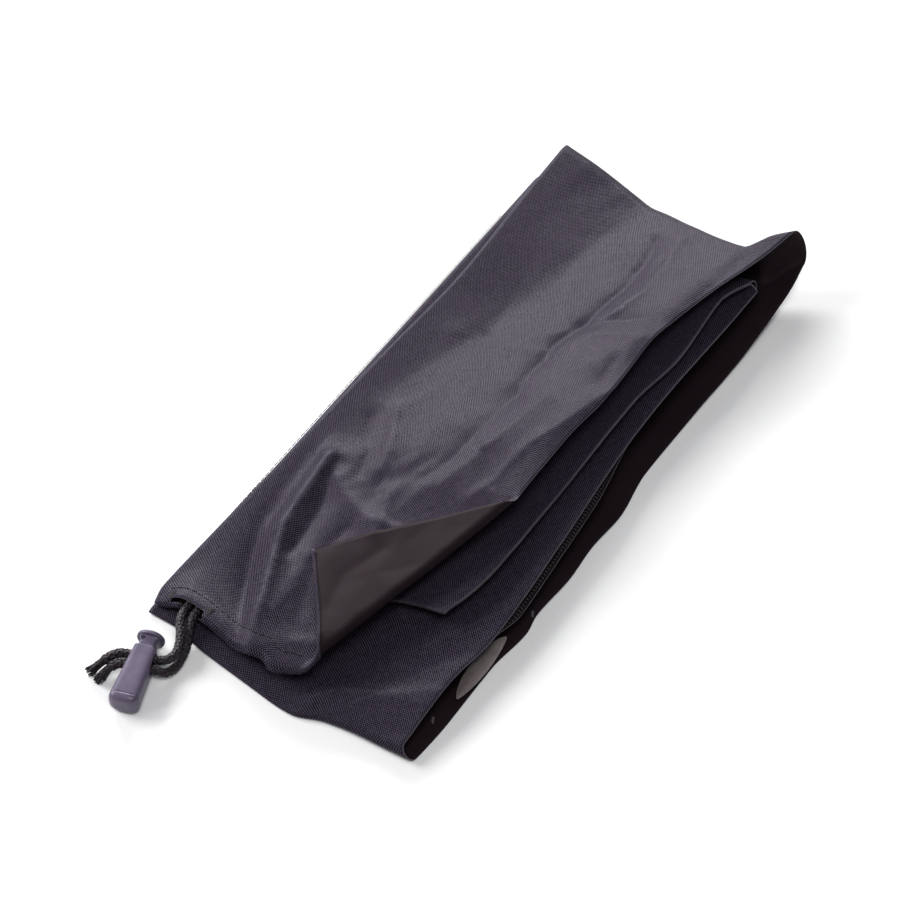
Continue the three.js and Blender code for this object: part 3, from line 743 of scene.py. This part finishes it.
def top_relief(x, y, t):
    loose = smoothstep(t, 0.02, 0.22)
    small = crumple(x, y, 61, 260, 0.06) + crumple(x, y, 62, 50, 0.12, ((20, 110), (-75, -5)))
    hemmed = 0.35 + 0.65 * smoothstep(x, 3, 18)
    return loose * (hemmed * crease_field(x, y, TOP_CREASES) + small + 0.35 * swells(x, y, 63, 60, 1.0))


bottom_leaf = leaf(BOTTOM_EDGE, pressed(0), 3, bottom_relief)
lower_leaf = leaf(LOWER_EDGE, pressed(2), 2.4, lower_relief)
upper_leaf = leaf(UPPER_EDGE, pressed(3), 2.2, upper_relief)


def lower_inner_leaf(x, t):
    point = lower_leaf(x, t)
    point[..., 2] -= PITCH + 2 * smoothstep(t, 0.8, 1)
    shown = smoothstep(x, 50, 66) * (1 - smoothstep(x, 120, 160))
    point[..., 1] += (1.5 - 3.3 * shown) * smoothstep(t, 0.8, 1)
    return point


def upper_inner_leaf(x, t):
    point = upper_leaf(x, t)
    point[..., 2] += PITCH
    return point


def top_height(x, y):
    """Height of the top leaf before its corner is turned over, with the rise over the cord."""
    start = fair(TOP_PRESSED_EDGE, x)
    t = (y - start) / (fair(TOP_EDGE, x) - start)
    inside = np.clip(t, 0, 1.05)
    width, ridge, done = start - fair(TOP_EDGE, x), fair(RIDGE, x), fair(RIDGE, x, 2)
    distance = inside * width
    rising, flatter = done / ridge, (1 - done) / (width - ridge)
    past = distance - ridge
    climb = rising * distance + (flatter - rising) * (past + np.sqrt(past ** 2 + RIDGE_ROUND ** 2)) / 2
    hem = HEM_RISE * np.exp(-((x / 16) ** 2)) * smoothstep(t, 0, 0.09) * (1 - smoothstep(t, 0.2, 0.72))
    rolled = TOP_ROLL * smoothstep(t, 0.93, 1.02) * smoothstep(x, 95, 130)
    return lerp(pressed(5), fair(TOP_EDGE, x, 2), climb) + hem + top_relief(x, y, inside) - rolled


def top_leaf(x, t, lift=0.0):
    """The top leaf with its corner turned over; lift is the distance above the cloth's middle."""
    x, t = np.broadcast_arrays(x, t)
    start = fair(TOP_PRESSED_EDGE, x)
    y = lerp(start, fair(TOP_EDGE, x), t)
    fold = DOG_EAR_TO - DOG_EAR_FROM
    out = np.array([fold[1], -fold[0]]) / norm(fold)
    beyond = (x - DOG_EAR_FROM[0]) * out[0] + (y - DOG_EAR_FROM[1]) * out[1]
    turned = beyond > 0
    angle = np.clip(beyond / DOG_EAR_ROLL, 0, math.pi)
    back = np.maximum(beyond - math.pi * DOG_EAR_ROLL, 0)
    shift = np.where(turned, (DOG_EAR_ROLL - lift) * np.sin(angle) - back - beyond, 0)
    rise = np.where(turned, DOG_EAR_ROLL - (DOG_EAR_ROLL - lift) * np.cos(angle), lift)
    x2, y2 = x + shift * out[0], y + shift * out[1]
    return np.stack([x2, y2, top_height(x2, y2) + rise], axis=-1)


# ---- cloth: sheets ----

COLUMNS = round(SHEET_WIDTH / GRID) + 1
SHARES = np.linspace(0, 1, COLUMNS)


def leaf_rows(surface, from_x, to_x, length):
    """Rows of a leaf between two lines across it. A line is rows of [share, x] and an inset."""
    start = fair(from_x[0], SHARES) + from_x[1]
    end = fair(to_x[0], SHARES) + to_x[1]
    count = round(length / GRID)
    return [surface(lerp(start, end, i / (count - 1)), SHARES) for i in range(count)]


def fold_rows(before, after, bulge, count):
    """Rows round the fold that joins one leaf's last row to the next leaf's first."""
    rows = []
    for k in range(1, count + 1):
        angle = math.pi * k / (count + 1)
        middle = lerp(before, after, (1 - math.cos(angle)) / 2)
        middle[:, 0] += bulge * math.sin(angle)
        rows.append(middle)
    return rows


def mark_creases(piece, grid):
    """Stores how sharply each point is bent up, for wear along the creases."""
    flat = np.zeros(grid.shape[:2])
    bend = grid[2:, 1:-1] + grid[:-2, 1:-1] + grid[1:-1, 2:] + grid[1:-1, :-2] - 4 * grid[1:-1, 1:-1]
    flat[1:-1, 1:-1] = np.clip(-bend[..., 2] * 1.6 - 0.25, 0, 1)
    values = np.tile(flat.ravel(), 2).astype(np.float32)
    used = piece.data.attributes.new("crease", "FLOAT", "POINT")
    used.data.foreach_set("value", values)


def drop_loose(piece):
    """Removes the points that an opening left unused."""
    work = bmesh.new()
    work.from_mesh(piece.data)
    bmesh.ops.delete(work, geom=[v for v in work.verts if not v.link_faces], context="VERTS")
    work.to_mesh(piece.data)
    work.free()


def make_panel(name, rows, cad_node, keep=None, kinds=(0, 1, 2)):
    """A sheet of cloth on a grid of middle points, with its two faces and its cut edges."""
    grid = np.array(rows)
    step = norm(np.diff(grid, axis=0), axis=2).mean(axis=1)
    v = np.concatenate([[0], np.cumsum(step)])
    uv = np.stack(np.broadcast_arrays(SHARES[None] * SHEET_WIDTH, v[:, None]), axis=-1)
    half = grid_normals(grid) * CLOTH_THICK / 2
    mesh = Mesh()
    mesh.sheet(grid + half, grid - half, uv, keep, kinds)
    panel = mesh.build(name, CLOTH, cad_node)
    mark_creases(panel, grid)
    if keep is not None:
        drop_loose(panel)
    return panel


def hem_rows():
    """The hem: folded under from the mouth and round its nose. It runs out at the turned corner."""
    mouth, height = fair(MOUTH, SHARES), fair(HEM_HEIGHT, SHARES)
    hemmed = 1 - smoothstep(SHARES, 0.56, 0.62)
    height = 0.5 + (height - 0.5) * (0.25 + 0.75 * hemmed)
    rows = []
    for inset in np.arange(HEM_WIDTH, HEM_NOSE, -GRID):
        back = (inset - HEM_NOSE) * (0.1 + 0.9 * hemmed)
        rows.append(top_leaf(mouth + HEM_NOSE + back, SHARES, -height))
    half = height / 2
    for angle in np.linspace(0, math.pi, 9)[:-1]:
        nose = mouth + HEM_NOSE - np.minimum(half, HEM_NOSE) * math.sin(angle)
        rows.append(top_leaf(nose, SHARES, -half * (1 + math.cos(angle))))
    return rows


def make_outer_panel():
    hem = hem_rows()
    far, near, inner = (FAR_FOLD, -FAR_BULGE), (NEAR_FOLD, NEAR_BULGE), (INNER_FOLD, -OUTER_SHORT)
    top = leaf_rows(top_leaf, (MOUTH, HEM_NOSE), far, TOP_LENGTH)
    bottom = leaf_rows(bottom_leaf, far, near, BOTTOM_LENGTH)
    lower = leaf_rows(lower_leaf, near, inner, LOWER_LENGTH)
    upper = leaf_rows(upper_leaf, inner, (CLOSED_END, 0), UPPER_LENGTH)
    rows = [
        *hem,
        *top,
        *fold_rows(top[-1], bottom[0], FAR_BULGE, FAR_ROWS),
        *bottom,
        *fold_rows(bottom[-1], lower[0], -NEAR_BULGE, NEAR_ROWS),
        *lower,
        *fold_rows(lower[-1], upper[0], 0.6, PRESSED_ROWS),
        *upper,
    ]
    keep = np.ones((len(rows) - 1, COLUMNS - 1), bool)
    first, last = (round(share * (COLUMNS - 1)) for share in SLIT_SHARES)
    for column in range(first, last):
        reach = 6 if column > first + 2 else 2
        keep[len(hem) - reach:len(hem), column] = False
    return make_panel("bag_outer_panel", rows, "outer_panel", keep)


def make_inner_panel():
    inner = (INNER_FOLD, -INNER_BULGE)
    lower = leaf_rows(lower_inner_leaf, (INNER_MOUTH, 0), inner, INNER_LENGTH)
    upper = leaf_rows(upper_inner_leaf, inner, (CLOSED_END, 0), UPPER_LENGTH)
    rows = [*lower, *fold_rows(lower[-1], upper[0], INNER_BULGE, INNER_ROWS), *upper]
    return make_panel("bag_inner_panel", rows, "inner_panel", kinds=(1, 0, 2))


outer_panel = make_outer_panel()
inner_panel = make_inner_panel()

# ---- stitching and trim ----

STITCH = 2.8  # length of one lock stitch, with the gap after it
THREAD_RADIUS = 0.17
OVERLOCK_PITCH, OVERLOCK_RADIUS = 1.5, 0.12


def sew(name, line, cad_node, sink=0.25):
    """A row of lock stitches along the line: each comes up, lies on the cloth and dives again."""
    mesh = Mesh()
    run = running(line)
    for start in np.arange(0, run[-1] - STITCH, STITCH):
        points = resample(line, run, np.linspace(start + 0.1 * STITCH, start + 0.9 * STITCH, 9))
        points[:, 2] += sink * (np.sin(np.linspace(0, math.pi, 9)) ** 0.6 - 1)
        mesh.tube(points, *frames_along(points)[1:], THREAD_RADIUS, THREAD_RADIUS, 6)
    mesh.build(name, [THREAD], cad_node)


def above(surface, x, t, height):
    point = surface(x, t)
    point[..., 2] += height
    return point


ON_CLOTH = CLOTH_THICK / 2 + THREAD_RADIUS
hem_shares = np.linspace(0.03, 0.56, 90)
hem_x = fair(MOUTH, hem_shares) + HEM_WIDTH - 1.5
sew("hem_stitching", above(top_leaf, hem_x, hem_shares, ON_CLOTH), "mouth_hem_stitch")
end_shares = np.linspace(0.3, 0.985, 90)
sew("closed_end_stitching",
    above(upper_inner_leaf, fair(CLOSED_END, end_shares) + 4, end_shares, ON_CLOTH), "closed_end_seam")
edge_x = np.linspace(36, 228, 120)
edge_line = np.stack(np.broadcast_arrays(edge_x, 0.75, pressed(3.5)), axis=1)
sew("pressed_edge_stitching", edge_line, "pressed_edge_seam", sink=0.0)


def overlock():
    """Loops of thread bound over the inner panel's raw long edge."""
    x = np.linspace(34, 236, 4200)
    edge = lower_inner_leaf(x, np.full_like(x, 0.985))
    turn = TURN * x / OVERLOCK_PITCH
    wobble = 0.25 * np.sin(x / 3.1) + 0.2 * np.sin(x / 7.7)
    loop = edge + np.stack([0.35 * np.sin(2 * turn), (0.7 + wobble) * np.cos(turn) - 0.2,
                            (0.42 + 0.2 * wobble) * np.sin(turn)], axis=1)
    mesh = Mesh()
    mesh.tube(loop, *frames_along(loop)[1:], OVERLOCK_RADIUS, OVERLOCK_RADIUS, 5)
    mesh.build("inner_panel_edge_binding", [PALE_THREAD], "inner_panel_overlock")


overlock()


def bartack(cad_node, centre, half_length, half_width, heading, material):
    """A short bar of dense stitches, sewn across it."""
    bar = np.array([math.cos(heading), math.sin(heading), 0.0])
    cross = np.array([-bar[1], bar[0], 0.0])
    mesh = Mesh()
    s = np.linspace(-1, 1, 7)[:, None]
    for k, stop in enumerate(np.linspace(-half_length, half_length, 9)):
        lean = 0.16 * (-1) ** k
        points = centre + bar * (stop + lean * s) + cross * (half_width * s)
        points[:, 2] += 0.22 * (1 - s[:, 0] ** 2) - 0.12
        mesh.tube(points, *frames_along(points)[1:], 0.19, THREAD_RADIUS, 6)
    mesh.build(cad_node + "_stitches", [material], cad_node)


slit_x = 5.4
slit_ends = [lerp(fair(TOP_PRESSED_EDGE, 4.0), fair(TOP_EDGE, 4.0), share) for share in SLIT_SHARES]
for name, y in (("slit_bartack_left", slit_ends[0] + 1.2), ("slit_bartack_right", slit_ends[1] - 1.2)):
    height = float(top_height(np.array(slit_x), np.array(y))) + CLOTH_THICK / 2 + 0.12
    bartack(name, np.array([slit_x, y, height]), 1.5, 0.95, 0.0, THREAD)
for name, x, y in (("edge_bartack_near", 15.0, -108.5), ("edge_bartack_far", 72.0, -112.5)):
    height = float(bottom_leaf(np.array(x), np.array(-y / BOTTOM_WIDTH))[2]) + CLOTH_THICK / 2 + 0.15
    bartack(name, np.array([x, y, height]), 1.2, 0.45, 0.5, PALE_THREAD)


TAB_LENGTH, TAB_HEIGHT, TAB_THICK, TAB_TAIL = 31.0, 2.7, 0.3, 4.4
TAB_CENTRE = np.array([41.5, -111.2, 2.7])


def side_tab():
    """A folded loop of ribbed tape caught in the side seam: its round back shows as a pale lens."""
    s = np.linspace(-1, 1, 61)
    girth = np.linspace(-math.pi / 2, math.pi / 2, 15)
    swell = np.clip(1 - np.abs(s) ** 2.2, 0, 1) ** 0.75
    half = np.maximum(TAB_HEIGHT / 2 * swell, 0.05)
    bow = 1 - s ** 2
    grid = np.zeros((len(s), len(girth) + 2, 3))
    grid[:, :, 0] = (TAB_CENTRE[0] + s * TAB_LENGTH / 2)[:, None]
    grid[:, 1:-1, 1] = (TAB_CENTRE[1] - bow)[:, None] - 0.9 * swell[:, None] * np.cos(girth)
    grid[:, 1:-1, 2] = TAB_CENTRE[2] + half[:, None] * np.sin(girth) + 0.35 * s[:, None]
    tail = 0.1 + TAB_TAIL * swell
    for end, neighbour, lift in ((0, 1, 0.15), (-1, -2, -0.15)):
        grid[:, end, 1] = grid[:, neighbour, 1] + tail
        grid[:, end, 2] = grid[:, neighbour, 2] + lift
    around = np.linspace(0, 9, grid.shape[1])
    uv = np.stack(np.broadcast_arrays(around[None], (s * TAB_LENGTH / 2)[:, None]), axis=-1)
    mesh = Mesh()
    mesh.sheet(grid, grid - grid_normals(grid) * TAB_THICK, uv)
    mesh.build("side_seam_tape_tab", [TAPE], "side_seam_tab")


side_tab()

# ---- cord lock ----

LOCK_BASE = np.array([-40.8, -18.3, 4.6])  # middle of the lock barrel's closed end
LOCK_AXIS = np.array([0.955, 0.297, 0.0])
LOCK_UP = np.array([0.0, 0.0, 1.0])
BARREL_LENGTH = 24.2
BARREL_BASE, BARREL_TOP = (11.0, 8.8), (8.4, 7.6)  # width and thickness
STEM_WIDTH, STEM_THICK = 6.0, 5.8
SLOT_CENTRE, SLOT_LENGTH, SLOT_THICK = 19.15, 8.6, 4.5
DISC_WIDTH, DISC_THICK, DISC_BOTTOM = 10.2, 9.0, 28.7
BUTTON_TRAVEL = 3.0
SIDES = 72  # points round a section of the lock
SLOT_SIDES = 40


def lock_point(points):
    """From the lock's own frame (across it along the cords, its thickness, along it) to the plan."""
    axis = LOCK_AXIS / norm(LOCK_AXIS)
    across = np.cross(LOCK_UP, axis)
    points = np.asarray(points, float)
    return LOCK_BASE + points[..., :1] * across + points[..., 1:2] * LOCK_UP + points[..., 2:] * axis


def oval(width, thick, sharpness):
    """A squared oval of that width and thickness."""
    angle = np.arange(SIDES) * TURN / SIDES
    c, s = np.cos(angle), np.sin(angle)
    power = 2 / sharpness
    return np.stack([np.sign(c) * np.abs(c) ** power * width / 2,
                     np.sign(s) * np.abs(s) ** power * thick / 2], axis=1)


def loft(sections):
    """A closed solid through rings of points, as (points, faces) in the lock's own frame."""
    rings = [np.column_stack([outline, np.full(len(outline), z)]) for z, outline in sections]
    return np.vstack(rings), skin_faces(len(rings), len(rings[0]))


def solid(name, points, faces):
    """A helper object in the row frame, used by the boolean cuts."""
    mesh = bpy.data.meshes.new(name)
    mesh.from_pydata(row(lock_point(points)).tolist(), [], faces)
    work = bmesh.new()
    work.from_mesh(mesh)
    bmesh.ops.recalc_face_normals(work, faces=work.faces)
    work.to_mesh(mesh)
    work.free()
    return place(name, mesh)


def apply_modifiers(piece):
    evaluated = piece.evaluated_get(bpy.context.evaluated_depsgraph_get())
    mesh = bpy.data.meshes.new_from_object(evaluated)
    piece.modifiers.clear()
    piece.data = mesh


def moulded(base, tools, voxel, body, cad_node):
    """Joins and cuts, rounds every edge a little as a mould does, and puts the piece on its body."""
    for tool, operation in tools:
        cut = base.modifiers.new("cut", "BOOLEAN")
        cut.object, cut.operation, cut.solver = tool, operation, "EXACT"
        apply_modifiers(base)
        bpy.data.objects.remove(tool)
    skin = base.modifiers.new("skin", "REMESH")
    skin.mode, skin.voxel_size, skin.use_smooth_shade = "VOXEL", voxel * MM, True
    rounded = base.modifiers.new("rounded", "SMOOTH")
    rounded.factor, rounded.iterations = 0.5, 3
    apply_modifiers(base)
    base.data.polygons.foreach_set("use_smooth", np.full(len(base.data.polygons), True))
    base.data.materials.clear()
    base.data.materials.append(PLASTIC)
    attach(base, body)
    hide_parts(cad_node)


def slot_prism(length, centre, reach):
    """A slot with round ends, cut right through the lock along the cords."""
    angle = np.linspace(0, TURN, SLOT_SIDES, endpoint=False)
    radius = SLOT_THICK / 2
    z = centre + radius * np.cos(angle) + np.sign(np.cos(angle)) * (length / 2 - radius)
    y = radius * np.sin(angle)
    ends = [np.column_stack([np.full(SLOT_SIDES, x), y, z]) for x in (-reach, reach)]
    return np.vstack(ends), skin_faces(2, SLOT_SIDES)


def barrel_sections():
    """The barrel's outline at each height: a domed end, a groove round it and a taper."""
    sections = []
    for angle in np.linspace(0, math.pi / 2, 7):
        sine = math.sin(angle)
        width, thick = np.array(BARREL_BASE) * (0.5 + 0.5 * sine)
        sections.append((2.5 * (1 - math.cos(angle)) - 0.5, oval(width, thick, 2.3 + 1.2 * sine)))
    for z in (2.3, 2.4, 2.7, 2.8, *np.linspace(3.4, BARREL_LENGTH, 12)):
        groove = 0.4 if 2.35 < z < 2.75 else 0.0
        width, thick = lerp(np.array(BARREL_BASE), np.array(BARREL_TOP), z / BARREL_LENGTH) - groove
        sections.append((z, oval(width, thick, 4.2)))
    return sections


def make_barrel():
    base = solid("cord_lock_body", *loft(barrel_sections()))
    lug = np.array([(-3.4, 0, 23.2), (-6.6, 0, 20.2), (-4.4, 0, 15.6), (-3.0, 0, 15.6)])
    lug_points = np.vstack([lug + (0, dy, 0) for dy in (-0.7, 0.7)])
    lug_faces = [(0, 1, 2, 3), (7, 6, 5, 4), (0, 4, 5, 1), (1, 5, 6, 2), (2, 6, 7, 3), (3, 7, 4, 0)]
    tools = [
        (solid("lug", lug_points, lug_faces), "UNION"),
        (solid("bore", *loft([(z, oval(6.5, 6.2, 6.0)) for z in (1.8, 27.0)])), "DIFFERENCE"),
        (solid("slot", *slot_prism(SLOT_LENGTH, SLOT_CENTRE, 12)), "DIFFERENCE"),
    ]
    moulded(base, tools, 0.15, "cord_lock", "cord_lock_barrel")


def make_button():
    rounding = ((0, 0.93), (0.25, 0.985), (0.6, 1.0), (1.0, 1.0), (1.35, 0.985), (1.6, 0.93),
                (1.75, 0.8), (1.82, 0.5))
    disc = [(DISC_BOTTOM + z, oval(DISC_WIDTH * size, DISC_THICK * size, 2.1)) for z, size in rounding]
    base = solid("cord_lock_button_cap", *loft(disc))
    flare = ((25.7, STEM_WIDTH, STEM_THICK), (27.4, STEM_WIDTH, STEM_THICK), (28.3, 6.9, 6.0),
             (29.3, 8.0, 6.4))
    neck = loft([(z, oval(width, thick, 5.0)) for z, width, thick in flare])
    stem = loft([(z, oval(STEM_WIDTH, STEM_THICK, 6.0)) for z in (11.3, 26.3)])
    opening = slot_prism(SLOT_LENGTH + BUTTON_TRAVEL, SLOT_CENTRE + BUTTON_TRAVEL / 2, 8)
    hollow = loft([(z, oval(1.9, 1.2, 2.5) + (1.9, 2.4)) for z in (26.6, 28.3)])
    tools = [
        (solid("neck", *neck), "UNION"),
        (solid("stem", *stem), "UNION"),
        (solid("opening", *opening), "DIFFERENCE"),
        (solid("hollow", *hollow), "DIFFERENCE"),
    ]
    moulded(base, tools, 0.14, "cord_lock_button", "cord_lock_plunger")


def make_spring():
    """A compression spring with closed ends."""
    turns, radius, wire, low, high = 8.5, 1.9, 0.225, 2.1, 11.0
    s = np.linspace(0, 1, 320)
    rise = smoothstep(s, 0.12, 0.88) * 0.25 + 0.75 * np.clip((s - 0.12) / 0.76, 0, 1)
    angle = TURN * turns * s
    height = lerp(low + wire, high - wire, rise)
    line = lock_point(np.column_stack([radius * np.cos(angle), radius * np.sin(angle), height]))
    mesh = Mesh()
    mesh.tube(line, *frames_along(line)[1:], wire, wire, 10)
    piece = mesh.build("cord_lock_coil_spring", [STEEL], "cord_lock_spring", body=None)
    foot, head = row(lock_point([[0, 0, low], [0, 0, high]]))
    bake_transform(piece)


make_barrel()
make_button()
make_spring()

# ---- stage and light ----

FLOOR_HALF = 4.0
WORLD_COLOUR, WORLD_STRENGTH = (0.95, 0.96, 1.0, 1.0), 0.24
SOFTBOXES = (  # name, azimuth, elevation, distance, width and height, watts
    ("softbox_behind", 134, 22, 1.3, (1.1, 0.22), 24),
    ("softbox_over", -56, 68, 1.4, (0.6, 0.6), 8),
    ("softbox_side", -165, 30, 1.4, (0.8, 0.5), 18),
)


def make_floor():
    mesh = bpy.data.meshes.new("floor")
    corners = [(x * FLOOR_HALF, y * FLOOR_HALF, 0) for x, y in ((-1, -1), (1, -1), (1, 1), (-1, 1))]
    mesh.from_pydata(corners, [], [(0, 1, 2, 3)])
    n = Nodes("floor_paper", Roughness=0.9, Specular_IOR_Level=0.1)
    n.colour(n.mix(n.noise(2.0), (0.86, 0.86, 0.86), (0.88, 0.88, 0.88)))
    mesh.materials.append(n.material)
    place("floor", mesh)


def make_lights():
    world = bpy.data.worlds.new("studio")
    world.use_nodes = True
    background = world.node_tree.nodes["Background"].inputs
    background["Color"].default_value = WORLD_COLOUR
    background["Strength"].default_value = WORLD_STRENGTH
    bpy.context.scene.world = world
    for name, azimuth, elevation, distance, size, power in SOFTBOXES:
        data = bpy.data.lights.new(name, "AREA")
        data.shape, data.energy = "RECTANGLE", power
        data.size, data.size_y = size
        aim(place(name, data), direction(azimuth, elevation), distance)


make_floor()
make_lights()
bpy.context.scene.view_settings.view_transform = "Standard"
